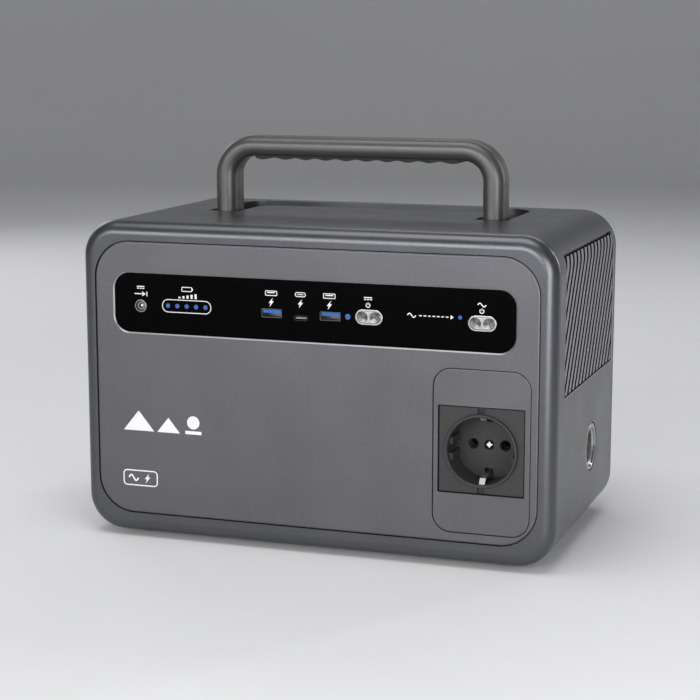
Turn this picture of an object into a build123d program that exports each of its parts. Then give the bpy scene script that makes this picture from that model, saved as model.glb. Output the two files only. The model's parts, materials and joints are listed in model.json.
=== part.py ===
from build123d import *
import math
import os

# Portable power station, millimetres. The front faces -Y, +Z is up, the floor is Z = 0
# and the origin is under the middle of the body.

# body
WIDTH = 290.0
DEPTH = 168.0
FOOT_H = 3.0
BODY_H = 188.5
TOP = FOOT_H + BODY_H
CORNER_R = 22.0
RIM_DEPTH = 8.5
RIM_ROUND = 7.8
WALL = 3.0
POST_L = 8.0
PARTING = 0.4
SCREW_X, SCREW_INSET = 116.0, 11.0
FOOT_X, FOOT_Y, FOOT_D = 112.0, 58.0, 22.0
FRONT_Y = -DEPTH / 2
BACK_Y = DEPTH / 2
SHELL_FRONT = FRONT_Y + RIM_DEPTH
SHELL_BACK = BACK_Y - RIM_DEPTH
MID_Z = FOOT_H + BODY_H / 2

# front panel and its inserts
PANEL_W, PANEL_H, PANEL_R = 271.0, 164.2, 22.0
PANEL_Z = 97.7
PANEL_T = 3.2
PANEL_GAP = 0.5
LEDGE = 2.5
FASCIA_W, FASCIA_H, FASCIA_R = 245.5, 35.6, 9.8
FASCIA_X, FASCIA_Z = -0.7, 143.4
FASCIA_SINK = 0.8
PLATE_W, PLATE_H, PLATE_R = 56.4, 94.4, 10.5
PLATE_X, PLATE_Z = 102.9, 68.4
SEAM = 0.4

# controls on the fascia (X, Z)
DC_IN = (-106.5, 141.6)
DC_IN_D = 7.4
SOC = (-76.9, 142.5)
SOC_PITCH = 6.0
SOC_LEDS = 5
SOC_LED_D = 2.8
USB_A = ((-23.4, 141.3), (12.6, 141.3))
USB_A_W, USB_A_H = 12.6, 5.2
USB_C = (-5.4, 139.3)
USB_C_W, USB_C_H = 8.8, 3.1
DC_LED = (23.3, 141.6)
DC_LED_D = 3.4
AC_LED = (89.7, 144.6)
AC_LED_D = 2.4
DC_BUTTON = (36.1, 142.0)
AC_BUTTON = (102.6, 141.9)
BUTTON_W, BUTTON_H = 14.8, 7.2
RIM_W = 0.8
BUTTON_PLAY = 0.15
BUTTON_PROUD = 0.9
BUTTON_TRAVEL = 0.8
BOARD_Y = -74.0
BOARD_T = 1.6

# mains socket
SOCKET_X, SOCKET_Z = 102.8, 69.3
SOCKET_SIDE = 49.6
SOCKET_RIM_D = 42.2
SOCKET_RIM_PROUD = 2.4
SOCKET_BORE = 39.0
SOCKET_DEPTH = 17.5
PIN_PITCH = 19.0
PIN_HOLE = 5.4
SOCKET_FRONT = FRONT_Y + 0.8
SOCKET_FLOOR = SOCKET_FRONT + SOCKET_DEPTH
SOCKET_SCREW_D = 5.6
CLIP_W = 3.4
NOSE_L = 2.8
SLEEVE_SET_BACK = 8.0

# car socket on the right-hand side (Y, Z)
CAR_Y, CAR_Z = 15.0, 54.1
CAR_BORE = 21.2
CAR_FLANGE_D = 29.0
CAR_DEPTH = 40.0

# side vents (Y, Z)
VENT_Y0, VENT_Y1 = -61.0, 72.0
VENT_Z0, VENT_Z1 = 97.6, 179.4
SLAT_PITCH = 9.4
SLAT_W = 4.8
SLAT_LEAN = 33.0
SLAT_SINK = 0.6

# handle, drawn standing up
GRIP_OUT = 92.5
GRIP_IN = 79.5
HANDLE_TOP = 238.0
BAR_T = 12.5
HANDLE_T = 22.0
PIVOT_Y, PIVOT_Z = 6.0, 180.0
OUT_R, IN_R = 25.0, 12.0
HANDLE_ROUND = 5.8
SPLIT = 9.5
SEAM_GROOVE = 0.35
GRIP_L = 132.0
RIPPLE_N = 10
PIN_D = 6.0
BOSS_D = 13.0
RUN_FIT = 0.05
CHANNEL_IN, CHANNEL_OUT = 76.0, 96.0
CHANNEL_FRONT = PIVOT_Y - HANDLE_T / 2 - 1.4
CHANNEL_BACK = 66.5
ISLAND_BACK = 37.0
CHANNEL_FLOOR = 168.0
WELL_WALL = 2.5
WELL_OUT_R, WELL_IN_R = 18.0, 12.0

# battery
CELL_D, CELL_H = 32.2, 70.5
CELL_PITCH = 34.0
CELL_N = 4
CELL_X, CELL_Y = -105.0, -52.0
CELL_Z = FOOT_H + WALL + 3.0
CELL_TOP = CELL_Z + CELL_H
HOLDER_H = 5.0
STRIP_T = 0.3
BMS_X, BMS_Z = CELL_X + 1.5 * CELL_PITCH, CELL_TOP + 4.3
BMS_FIX_X, BMS_FIX_Y = 51.0, (-26.0, 30.0)

# electronics deck and fan
DECK_Z = 92.0
DECK_T = 2.0
INVERTER_Z = 100.0
INVERTER_TOP = INVERTER_Z + BOARD_T
HEATSINKS = (-50.0, 20.0)
FAN_BLADES = 7
FAN_Y, FAN_Z = 5.0, 134.0
FAN_SIDE = 60.0
FAN_BORE = 56.5
FAN_HOLES = 25.0
FAN_X0, FAN_X1 = -138.5, -118.5


def slab(w, h, r, x, z, y0, y1):
    """Rounded rectangle facing the front, from depth y0 back to y1."""
    face = Plane(origin=(x, y1, z), x_dir=(1, 0, 0), z_dir=(0, -1, 0))
    return extrude(face * RectangleRounded(w, h, r), amount=y1 - y0)


def block(x0, x1, y0, y1, z0, z1):
    return Pos((x0 + x1) / 2, (y0 + y1) / 2, (z0 + z1) / 2) * Box(x1 - x0, y1 - y0, z1 - z0)


def rod_x(d, x0, x1, y, z):
    return Pos((x0 + x1) / 2, y, z) * Rot(0, 90, 0) * Cylinder(d / 2, x1 - x0)


def rod_y(d, x, y0, y1, z):
    return Pos(x, (y0 + y1) / 2, z) * Rot(90, 0, 0) * Cylinder(d / 2, y1 - y0)


def rod_z(d, x, y, z0, z1):
    return Pos(x, y, (z0 + z1) / 2) * Cylinder(d / 2, z1 - z0)


def edges_at(solid, axis, value, tol=0.01):
    """Edges that lie wholly in one plane across an axis."""
    return solid.edges().filter_by_position(axis, value - tol, value + tol)


def save(name, *solids):
    shape = solids[0] if len(solids) == 1 else Compound(children=list(solids))
    export_step(shape, f"parts/{name}.step")


# casing


def front_bezel():
    ring = slab(WIDTH, BODY_H, CORNER_R, 0, MID_Z, FRONT_Y, SHELL_FRONT)
    ring = fillet(edges_at(ring, Axis.Y, FRONT_Y), RIM_ROUND)
    ring = chamfer(edges_at(ring, Axis.Y, SHELL_FRONT), PARTING)
    gap = 2 * PANEL_GAP
    ring -= slab(PANEL_W + gap, PANEL_H + gap, PANEL_R + PANEL_GAP, 0, PANEL_Z,
                 FRONT_Y - 1, FRONT_Y + PANEL_T)
    ring -= slab(PANEL_W - 2 * LEDGE, PANEL_H - 2 * LEDGE, PANEL_R - LEDGE, 0, PANEL_Z,
                 FRONT_Y, SHELL_FRONT + 1)
    return ring


def front_panel():
    plate = slab(PANEL_W, PANEL_H, PANEL_R, 0, PANEL_Z, FRONT_Y, FRONT_Y + PANEL_T)
    plate = fillet(edges_at(plate, Axis.Y, FRONT_Y), 1.0)
    window = slab(FASCIA_W, FASCIA_H, FASCIA_R, FASCIA_X, FASCIA_Z, FRONT_Y - 1, FRONT_Y + 4)
    plate -= window
    plate = chamfer(window_edges(plate), FASCIA_SINK - 0.05)
    plate -= slab(PLATE_W + 2 * SEAM, PLATE_H + 2 * SEAM, PLATE_R + SEAM, PLATE_X, PLATE_Z,
                  FRONT_Y - 1, FRONT_Y + 4)
    return plate


def window_edges(plate):
    """Front edges of the window that the fascia shows through."""
    near = []
    for e in edges_at(plate, Axis.Y, FRONT_Y):
        c = e.center()
        if abs(c.X - FASCIA_X) < FASCIA_W / 2 + 1 and abs(c.Z - FASCIA_Z) < FASCIA_H / 2 + 1:
            near.append(e)
    return near


def main_shell():
    tube = slab(WIDTH, BODY_H, CORNER_R, 0, MID_Z, SHELL_FRONT, SHELL_BACK)
    tube = chamfer(edges_at(tube, Axis.Y, SHELL_FRONT), PARTING)
    tube = chamfer(edges_at(tube, Axis.Y, SHELL_BACK), PARTING)
    tube -= slab(WIDTH - 2 * WALL, BODY_H - 2 * WALL, CORNER_R - WALL, 0, MID_Z,
                 SHELL_FRONT - 1, SHELL_BACK + 1)
    tube -= well_space()
    for side in (-1, 1):
        vent = block(130, 150, VENT_Y0, VENT_Y1, VENT_Z0, VENT_Z1)
        tube -= vent if side > 0 else mirror(vent, Plane.YZ)
        rail = block(135, WIDTH / 2 - WALL, -66, 66, DECK_Z - 5, DECK_Z)
        tube += rail if side > 0 else mirror(rail, Plane.YZ)
    tube -= rod_x(CAR_FLANGE_D + 0.8, WIDTH / 2 - 1.2, WIDTH / 2 + 1, CAR_Y, CAR_Z)
    tube -= rod_x(CAR_BORE + 3.4, WIDTH / 2 - 10, WIDTH / 2 + 1, CAR_Y, CAR_Z)
    for x, z in screw_posts():
        wall_z = TOP - 1 if z > MID_Z else FOOT_H + 1
        tube += rod_y(9.0, x, SHELL_BACK - POST_L, SHELL_BACK, z)
        tube += block(x - 2.5, x + 2.5, SHELL_BACK - POST_L, SHELL_BACK, *sorted((z, wall_z)))
        tube -= rod_y(2.6, x, SHELL_BACK - POST_L + 1, SHELL_BACK + 1, z)
    for x, y in foot_places():
        tube -= rod_z(3.2, x, y, 0, FOOT_H + WALL + 1)
    return chamfer(vent_rims(tube), 0.5)


def vent_rims(tube):
    """Outer edges of the two vent windows."""
    rims = []
    for e in tube.edges():
        c = e.center()
        inside = VENT_Y0 - 0.1 < c.Y < VENT_Y1 + 0.1 and VENT_Z0 - 0.1 < c.Z < VENT_Z1 + 0.1
        if inside and abs(c.X) > 130 and skin_depth(c.X, c.Z) < 0.6 and skin_depth(*ends_xz(e)) < 0.01:
            rims.append(e)
    return rims


def ends_xz(edge):
    p = edge @ 0
    return p.X, p.Z


def skin_depth(x, z):
    """Depth of a point under the shell's outer face, round the upper corners too."""
    across = abs(x) - (WIDTH / 2 - CORNER_R)
    up = max(0.0, z - (TOP - CORNER_R))
    return CORNER_R - math.hypot(across, up)


def screw_posts():
    """Rear cover screws: three along the bottom and two at the top corners."""
    dz = BODY_H / 2 - SCREW_INSET
    return [(sx * SCREW_X, MID_Z + sz * dz) for sx in (-1, 1) for sz in (-1, 1)] + [(0, MID_Z - dz)]


def foot_places():
    return [(sx * FOOT_X, sy * FOOT_Y) for sx in (-1, 1) for sy in (-1, 1)]


def u_plan(out, inner, front, island, back, out_r, in_r, z0, z1):
    """U-shaped prism: two legs that run back from the front and a bar behind them."""
    whole = block(-out, out, front, back, z0, z1)
    rear = [e for e in whole.edges().filter_by(Axis.Z) if e.center().Y > back - 1]
    whole = fillet(rear, out_r)
    middle = block(-inner, inner, front - 1, island, z0 - 1, z1 + 1)
    rear = [e for e in middle.edges().filter_by(Axis.Z) if e.center().Y > island - 1]
    return whole - fillet(rear, in_r)


def well_space():
    return u_plan(CHANNEL_OUT, CHANNEL_IN, CHANNEL_FRONT, ISLAND_BACK, CHANNEL_BACK,
                  WELL_OUT_R, WELL_IN_R, CHANNEL_FLOOR, TOP + 1)


def handle_well():
    """U-shaped trough under the opening in the top, with the bosses for the hinge pins."""
    t = WELL_WALL
    well = u_plan(CHANNEL_OUT + t, CHANNEL_IN - t, CHANNEL_FRONT - t, ISLAND_BACK - t,
                  CHANNEL_BACK + t, WELL_OUT_R + t, WELL_IN_R - t, CHANNEL_FLOOR - t, TOP - WALL)
    well -= well_space()
    for side in (-1, 1):
        well += hinge_bosses(side)
        well -= rod_x(PIN_D, *sorted((side * 70, side * 100)), PIVOT_Y, PIVOT_Z)
    return well


def hinge_bosses(side):
    inner = rod_x(BOSS_D, CHANNEL_IN - 0.5, GRIP_IN - 0.9, PIVOT_Y, PIVOT_Z)
    outer = rod_x(BOSS_D, GRIP_OUT + 0.9, CHANNEL_OUT + 0.5, PIVOT_Y, PIVOT_Z)
    pair = inner + outer
    return pair if side > 0 else mirror(pair, Plane.YZ)


def rear_cover():
    cover = slab(WIDTH, BODY_H, CORNER_R, 0, MID_Z, SHELL_BACK, BACK_Y)
    cover = fillet(edges_at(cover, Axis.Y, BACK_Y), RIM_ROUND)
    cover = chamfer(edges_at(cover, Axis.Y, SHELL_BACK), PARTING)
    cover -= slab(WIDTH - 18, BODY_H - 18, CORNER_R - 6, 0, MID_Z, SHELL_BACK - 1, BACK_Y - WALL)
    cover -= slab(WIDTH - 70, BODY_H - 60, 14, 0, MID_Z, BACK_Y - 0.8, BACK_Y + 1)
    for x, z in screw_posts():
        cover += rod_y(10.0, x, SHELL_BACK, BACK_Y - 1, z)
        cover -= rod_y(3.3, x, SHELL_BACK - 1, BACK_Y + 1, z)
        cover -= rod_y(6.6, x, BACK_Y - 3.2, BACK_Y + 1, z)
    return cover


def screw_y(x, z, y_head, length, d, head_d, head_h):
    """Cross-head screw driven towards the front, head at y_head."""
    body = rod_y(d, x, y_head - length, y_head, z) + rod_y(head_d, x, y_head, y_head + head_h, z)
    slot = block(x - 1.6, x + 1.6, y_head + 0.5, y_head + head_h + 1, z - 0.35, z + 0.35)
    cross = block(x - 0.35, x + 0.35, y_head + 0.5, y_head + head_h + 1, z - 1.6, z + 1.6)
    return body - slot - cross


def rear_screws():
    return [screw_y(x, z, BACK_Y - 3.2, 11.0, 2.6, 6.0, 2.2) for x, z in screw_posts()]


def rubber_feet():
    feet = []
    for x, y in foot_places():
        foot = rod_z(FOOT_D, x, y, 0, FOOT_H)
        foot = chamfer(edges_at(foot, Axis.Z, 0), 0.8)
        foot -= rod_z(7.5, x, y, -1, 1.6)
        foot -= rod_z(3.2, x, y, 0, FOOT_H + 1)
        feet.append(foot)
    return feet


def foot_screws():
    return [rod_z(6.4, x, y, 0.4, 1.6) + rod_z(3.0, x, y, 1.6, FOOT_H + WALL) for x, y in foot_places()]


# vents


def side_skin(inset, thick, y0, y1, z0, z1):
    """Curved skin that follows the right-hand side at a depth under the surface."""
    a, b = 2 * inset, 2 * (inset + thick)
    skin = slab(WIDTH - a, BODY_H - a, CORNER_R - inset, 0, MID_Z, y0, y1)
    skin -= slab(WIDTH - b, BODY_H - b, CORNER_R - inset - thick, 0, MID_Z, y0 - 1, y1 + 1)
    return skin & block(100, 150, y0, y1, z0, z1)


def leaning_bar(y, width, z0, z1):
    """Bar across the side wall that leans back as it rises, y at its foot."""
    run = math.tan(math.radians(SLAT_LEAN)) * (z1 - z0)
    half = width / 2
    outline = [(y - half, z0), (y + half, z0), (y + half + run, z1), (y - half + run, z1)]
    face = make_face(Polyline(*[(100, a, b) for a, b in outline], close=True))
    return extrude(face, amount=50, dir=(1, 0, 0))


def slat_feet():
    """Places of the slats' lower ends, from the first that shows at the front."""
    run = math.tan(math.radians(SLAT_LEAN)) * (VENT_Z1 - VENT_Z0)
    first = VENT_Y0 - run + SLAT_PITCH * 0.2
    count = int((VENT_Y1 - first) / SLAT_PITCH) + 1
    return [first + i * SLAT_PITCH for i in range(count)]


def vent_slats():
    skin = side_skin(SLAT_SINK, WALL - SLAT_SINK, VENT_Y0 + 1.2, VENT_Y1 - 1.2,
                     VENT_Z0 + 1.0, VENT_Z1 - 2.0)
    slats = []
    for y in slat_feet():
        piece = skin & leaning_bar(y, SLAT_W, VENT_Z0, VENT_Z1)
        slats += [s for s in piece.solids() if s.volume > 8]
    return slats


def vent_tray():
    tray = side_skin(WALL, 1.6, VENT_Y0 - 3, VENT_Y1 + 2.5, VENT_Z0 - 3, VENT_Z1 + 2)
    window = block(100, 150, VENT_Y0 + 4, VENT_Y1 - 4, VENT_Z0 + 4, VENT_Z1 - 5)
    for y in slat_feet():
        tray -= leaning_bar(y + SLAT_PITCH / 2, 2.6, VENT_Z0, VENT_Z1) & window
    return tray


# fascia and controls


def pill(w, h, x, z, y0, y1):
    return slab(w, h, h / 2 - 0.01, x, z, y0, y1)


def fascia_front():
    return FRONT_Y + FASCIA_SINK


def control_fascia():
    y0 = fascia_front()
    y1 = FRONT_Y + PANEL_T
    lens = slab(FASCIA_W, FASCIA_H, FASCIA_R, FASCIA_X, FASCIA_Z, y0, y1)
    lens += slab(FASCIA_W + 6, FASCIA_H + 4, FASCIA_R, FASCIA_X, FASCIA_Z, y1, y1 + 1.2)
    cut0, cut1 = y0 - 1, y1 + 3
    lens -= rod_y(DC_IN_D + 0.2, DC_IN[0], cut0, cut1, DC_IN[1])
    for i in range(SOC_LEDS):
        lens -= rod_y(SOC_LED_D, soc_led_x(i), cut0, cut1, SOC[1])
    for x, z in USB_A:
        lens -= slab(USB_A_W, USB_A_H, 0.4, x, z, cut0, cut1)
    lens -= pill(USB_C_W, USB_C_H, *USB_C, cut0, cut1)
    lens -= rod_y(DC_LED_D, DC_LED[0], cut0, cut1, DC_LED[1])
    lens -= rod_y(AC_LED_D, AC_LED[0], cut0, cut1, AC_LED[1])
    for x, z in (DC_BUTTON, AC_BUTTON):
        lens -= pill(BUTTON_W + 2 * RIM_W, BUTTON_H + 2 * RIM_W, x, z, cut0, cut1)
    for x, z in board_screws():
        lens += rod_y(6, x, y1 + 1, BOARD_Y, z)
        lens -= rod_y(2.4, x, y1 + 1, BOARD_Y + 1, z)
    return lens


def soc_led_x(i):
    return SOC[0] + (i - (SOC_LEDS - 1) / 2) * SOC_PITCH


def led(d, x, z):
    y0 = fascia_front()
    body = rod_y(d, x, y0 - 0.2, BOARD_Y, z)
    return chamfer(edges_at(body, Axis.Y, y0 - 0.2), 0.3)


def button_rim(x, z):
    y0 = fascia_front()
    w, h = BUTTON_W, BUTTON_H
    rim = pill(w + 2 * RIM_W, h + 2 * RIM_W, x, z, y0 - 0.5, y0 + 2.8)
    rim = fillet(edges_at(rim, Axis.Y, y0 - 0.5), 0.3)
    return rim - pill(w, h, x, z, y0 - 2, y0 + 4)


def button_cap(x, z):
    """Pill-shaped cap with two shallow round dishes and a stem to its switch."""
    y0 = fascia_front() - BUTTON_PROUD
    w, h = BUTTON_W - 2 * BUTTON_PLAY, BUTTON_H - 2 * BUTTON_PLAY
    cap = pill(w, h, x, z, y0, y0 + 3.4)
    cap = fillet(edges_at(cap, Axis.Y, y0), 0.5)
    dish_r = 12.0
    dish_d = 0.45
    for side in (-1, 1):
        cap -= Pos(x + side * (w - h) / 2, y0 - dish_r + dish_d, z) * Sphere(dish_r)
    cap += rod_y(3.0, x, y0 + 3.4, BOARD_Y - 2.0 - BUTTON_TRAVEL - 0.2, z)
    return cap


def tact_switch(x, z):
    switch = block(x - 3, x + 3, BOARD_Y - 1.6, BOARD_Y, z - 3, z + 3)
    return switch + rod_y(3.4, x, BOARD_Y - 2.0, BOARD_Y - 1.6, z)


def usb_a_shell(x, z):
    y0 = fascia_front() + 0.3
    shell = slab(USB_A_W - 0.1, USB_A_H - 0.1, 0.35, x, z, y0, BOARD_Y)
    return shell - slab(USB_A_W - 0.7, USB_A_H - 0.7, 0.2, x, z, y0 - 1, BOARD_Y - 0.5)


def usb_a_tongue(x, z):
    y0 = fascia_front() + 0.9
    w = USB_A_W - 1.6
    return block(x - w / 2, x + w / 2, y0, BOARD_Y - 0.5, z + 0.15, z + 1.9)


def usb_c_shell():
    y0 = fascia_front() + 0.3
    shell = pill(USB_C_W - 0.1, USB_C_H - 0.1, *USB_C, y0, BOARD_Y)
    return shell - pill(USB_C_W - 0.7, USB_C_H - 0.7, *USB_C, y0 - 1, BOARD_Y - 0.5)


def usb_c_tongue():
    y0 = fascia_front() + 0.9
    x, z = USB_C
    return block(x - 3.2, x + 3.2, y0, BOARD_Y - 0.5, z - 0.35, z + 0.35)


def dc_jack():
    """Round jack: an outer ring and an inner sleeve on one base."""
    x, z = DC_IN
    y0 = fascia_front() - 0.3
    base = BOARD_Y - 0.6
    body = rod_y(DC_IN_D + 0.1, x, y0, BOARD_Y, z)
    body = fillet(edges_at(body, Axis.Y, y0), 0.3)
    body -= rod_y(5.8, x, y0 - 1, base, z)
    return body + rod_y(4.6, x, y0 + 0.8, base, z) - rod_y(3.2, x, y0, base, z)


def dc_jack_pin():
    x, z = DC_IN
    pin = rod_y(2.0, x, fascia_front() + 1.2, BOARD_Y - 0.6, z)
    return fillet(edges_at(pin, Axis.Y, fascia_front() + 1.2), 0.6)


def control_board():
    x0, x1 = FASCIA_X - 118, FASCIA_X + 118
    board = slab(x1 - x0, 28, 3, FASCIA_X, FASCIA_Z, BOARD_Y, BOARD_Y + BOARD_T)
    for x, z in board_screws():
        board -= rod_y(3.2, x, BOARD_Y - 1, BOARD_Y + BOARD_T + 1, z)
    return board


def board_screws():
    return [(FASCIA_X + s * 112, FASCIA_Z + 8) for s in (-1, 0, 1)]


def board_chips():
    y0, y1 = BOARD_Y + BOARD_T, BOARD_Y + BOARD_T + 1.6
    places = [(-60, 12, 12), (-30, 7, 7), (5, 9, 6), (60, 14, 10), (80, 6, 6)]
    return [block(x - w / 2, x + w / 2, y0, y1, 141 - h / 2, 141 + h / 2) for x, w, h in places]


def board_screw_set():
    y = BOARD_Y + BOARD_T
    return [screw_y(x, z, y, 5.0, 2.4, 5.0, 1.6) for x, z in board_screws()]


# mains socket


def socket_plate():
    plate = slab(PLATE_W, PLATE_H, PLATE_R, PLATE_X, PLATE_Z, FRONT_Y, FRONT_Y + PANEL_T)
    plate = fillet(edges_at(plate, Axis.Y, FRONT_Y), 0.5)
    y = FRONT_Y + PANEL_T
    flange = slab(PLATE_W + 6, PLATE_H + 4, PLATE_R, PLATE_X, PLATE_Z - 1, y, y + 1.5)
    inset = 2 * LEDGE + 0.6
    plate += flange & slab(PANEL_W - inset, PANEL_H - inset, PANEL_R - LEDGE - 0.3, 0, PANEL_Z, y, y + 2)
    side = SOCKET_SIDE + 1.0
    return plate - slab(side, side, 0.8, SOCKET_X, SOCKET_Z, FRONT_Y - 1, y + 3)


def socket_body():
    x, z = SOCKET_X, SOCKET_Z
    y0, floor = SOCKET_FRONT, SOCKET_FLOOR
    rim_y = y0 - SOCKET_RIM_PROUD
    body = slab(SOCKET_SIDE, SOCKET_SIDE, 0.6, x, z, y0, y0 + 8)
    body = chamfer(edges_at(body, Axis.Y, y0), 0.3)
    rim = rod_y(SOCKET_RIM_D, x, rim_y, y0 + 8, z)
    body += fillet(edges_at(rim, Axis.Y, rim_y), 0.5)
    body += rod_y(46, x, y0 + 7, floor + 3, z)
    body -= rod_y(SOCKET_BORE, x, rim_y - 1, floor, z)
    inner = [e for e in edges_at(body, Axis.Y, rim_y) if abs(e.length - math.pi * SOCKET_BORE) < 1]
    body = chamfer(inner, 0.5)
    for side in (-1, 1):
        pin_x = x + side * PIN_PITCH / 2
        body -= rod_y(PIN_HOLE, pin_x, floor - 1, floor + 4, z)
        body -= Pos(pin_x, floor + 0.2, z) * Rot(90, 0, 0) * Cone(PIN_HOLE / 2, PIN_HOLE / 2 + 0.9, 0.9)
        for rib_z in (z - 4.6, z + 4.6):
            rib_x = x + side * (SOCKET_BORE / 2 - 0.6)
            rib = block(rib_x - 1.8, rib_x + 1.8, y0 + 1.5, floor + 1, rib_z - 1.9, rib_z + 1.9)
            body += rib & rod_y(SOCKET_BORE + 1, x, y0, floor + 1, z)
        body -= block(x - 2.4, x + 2.4, y0 + 1, floor - 2, *clip_band(side))
        body -= block(x - 2.4, x + 2.4, floor - 3, floor + 4, *clip_band(side, 4.5))
        notch = sorted((z + side * (SOCKET_RIM_D / 2 + 0.4), z + side * SOCKET_SIDE / 2))
        body -= block(x - 2.2, x + 2.2, y0 - 1, y0 + 0.9, notch[0] - 0.1, notch[1] + 0.1)
    return body - rod_y(SOCKET_SCREW_D + 0.4, x, floor - 1, floor + 4, z)


def clip_band(side, deep=0.0):
    """Heights of the earth clip's slot above or below the socket's middle."""
    near = SOCKET_BORE / 2 - 1.5 - deep
    far = SOCKET_BORE / 2 + 1.0
    return sorted((SOCKET_Z + side * near, SOCKET_Z + side * far))


def earth_clips():
    """Sprung earth contacts: a strip along the wall with a crowned nose."""
    x = SOCKET_X
    y0, floor = SOCKET_FRONT + 1.6, SOCKET_FLOOR
    clips = []
    for side in (-1, 1):
        top = SOCKET_BORE / 2 + 0.7
        nose, back = y0 + NOSE_L, floor - 3
        strip = [(y0, top), (nose, top - 3.6), (back, top - 4.6), (floor + 5, top - 4.6),
                 (floor + 5, top - 3.6), (back, top - 3.6), (nose + 0.6, top - 2.6), (y0, top + 0.2)]
        points = [(x - CLIP_W / 2, y, SOCKET_Z + side * h) for y, h in strip]
        face = make_face(Polyline(*points, close=True))
        clips.append(extrude(face, amount=CLIP_W, dir=(1, 0, 0)))
    return clips


def contact_sleeves():
    """Spring sleeves for the two pins, set well back behind the socket's floor."""
    y = SOCKET_FLOOR + SLEEVE_SET_BACK
    sleeves = []
    for side in (-1, 1):
        x = SOCKET_X + side * PIN_PITCH / 2
        sleeves.append(rod_y(7.0, x, y, y + 11, SOCKET_Z) - rod_y(4.9, x, y - 1, y + 9.5, SOCKET_Z))
    return sleeves


def socket_rear():
    """Rear housing that holds the sleeves behind the socket's floor."""
    floor = SOCKET_FLOOR
    house = rod_y(44, SOCKET_X, floor + 3.0, floor + 20, SOCKET_Z)
    for side in (-1, 1):
        x = SOCKET_X + side * PIN_PITCH / 2
        house -= rod_y(PIN_HOLE, x, floor + 2, floor + SLEEVE_SET_BACK + 1, SOCKET_Z)
        house -= rod_y(7.2, x, floor + SLEEVE_SET_BACK, floor + SLEEVE_SET_BACK + 11.2, SOCKET_Z)
        house -= block(SOCKET_X - 3, SOCKET_X + 3, floor + 2, floor + 6, *clip_band(side, 6.0))
    return house - rod_y(3.4, SOCKET_X, floor + 2, floor + 16, SOCKET_Z)


def socket_screw():
    """Screw sunk just under the socket's floor, with a square recess set on its corner."""
    y = SOCKET_FLOOR
    screw = rod_y(SOCKET_SCREW_D, SOCKET_X, y + 0.2, y + 1.6, SOCKET_Z)
    screw += rod_y(3.2, SOCKET_X, y + 1.6, y + 15.5, SOCKET_Z)
    screw -= Pos(SOCKET_X, y + 0.5, SOCKET_Z) * Rot(0, 45, 0) * Box(2.3, 1.0, 2.3)
    for w, h in ((3.6, 0.6), (0.6, 3.6)):
        screw -= block(SOCKET_X - w / 2, SOCKET_X + w / 2, y, y + 0.8, SOCKET_Z - h / 2, SOCKET_Z + h / 2)
    return screw


# car socket


def car_flange():
    """Thin ring with a rounded outside and a bevel that leads into the barrel."""
    x1 = WIDTH / 2 - 0.2
    ring = rod_x(CAR_FLANGE_D, x1 - 1.0, x1, CAR_Y, CAR_Z)
    ring = fillet(edges_at(ring, Axis.X, x1), 0.6)
    ring -= rod_x(CAR_BORE + 2.2, x1 - 2, x1 + 1, CAR_Y, CAR_Z)
    return chamfer(edges_at(ring, Axis.X, x1).sort_by(SortBy.LENGTH)[0], 0.85)


def car_barrel():
    x0, x1 = WIDTH / 2 - 0.4 - CAR_DEPTH, WIDTH / 2 - 1.2
    tube = rod_x(CAR_BORE + 2.2, x0, x1, CAR_Y, CAR_Z)
    tube -= rod_x(CAR_BORE, x0 - 1, x1 + 1, CAR_Y, CAR_Z)
    return chamfer(edges_at(tube, Axis.X, x1).sort_by(SortBy.LENGTH)[0], 0.9)


def car_base():
    x0 = WIDTH / 2 - 0.4 - CAR_DEPTH
    base = rod_x(CAR_BORE - 0.4, x0, x0 + 3, CAR_Y, CAR_Z)
    base += rod_x(CAR_BORE + 4, x0 - 6, x0, CAR_Y, CAR_Z)
    return base - rod_x(7, x0 - 7, x0 + 4, CAR_Y, CAR_Z)


def car_contact():
    x0 = WIDTH / 2 - 0.4 - CAR_DEPTH
    pin = rod_x(6.6, x0 - 9, x0 + 4.5, CAR_Y, CAR_Z)
    return fillet(edges_at(pin, Axis.X, x0 + 4.5), 2.2)


def car_nut():
    """Ring nut that clamps the car socket to the inside of the wall."""
    x1 = WIDTH / 2 - WALL
    ring = rod_x(CAR_FLANGE_D + 2, x1 - 4, x1, CAR_Y, CAR_Z)
    return ring - rod_x(CAR_BORE + 2.4, x1 - 5, x1 + 1, CAR_Y, CAR_Z)


# handle


def handle_blank():
    """Whole handle, standing up: a U of rounded section with round ends at the hinge."""
    mid = PIVOT_Y
    y0, y1 = mid - HANDLE_T / 2, mid + HANDLE_T / 2
    tall = 2 * (HANDLE_TOP - PIVOT_Z)
    outer = slab(2 * GRIP_OUT, tall, OUT_R, 0, PIVOT_Z, y0, y1)
    inner = slab(2 * GRIP_IN, tall - 2 * BAR_T, IN_R, 0, PIVOT_Z, y0 - 1, y1 + 1)
    hoop = (outer - inner) & block(-100, 100, y0, y1, PIVOT_Z, HANDLE_TOP)
    for side in (-1, 1):
        x0, x1 = sorted((side * GRIP_IN, side * GRIP_OUT))
        hoop += rod_x(HANDLE_T, x0, x1, mid, PIVOT_Z)
    front = [e for e in hoop.edges() if on_rim(e, y0)]
    back = [e for e in hoop.edges() if on_rim(e, y1)]
    hoop = fillet(front + back, HANDLE_ROUND)
    for side in (-1, 1):
        hoop -= rod_x(PIN_D + 2 * RUN_FIT, *sorted((side * 70, side * 100)), mid, PIVOT_Z)
    return hoop


def on_rim(edge, y):
    """True for an edge of the U's outline that lies in its front or back face."""
    if edge.length < 1 or abs(edge.center().Y - y) > 0.01:
        return False
    ends = [edge @ 0, edge @ 1]
    flat = all(abs(p.Y - y) < 0.01 for p in ends)
    return flat and not all(abs(p.Z - PIVOT_Z) < 0.01 for p in ends)


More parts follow.
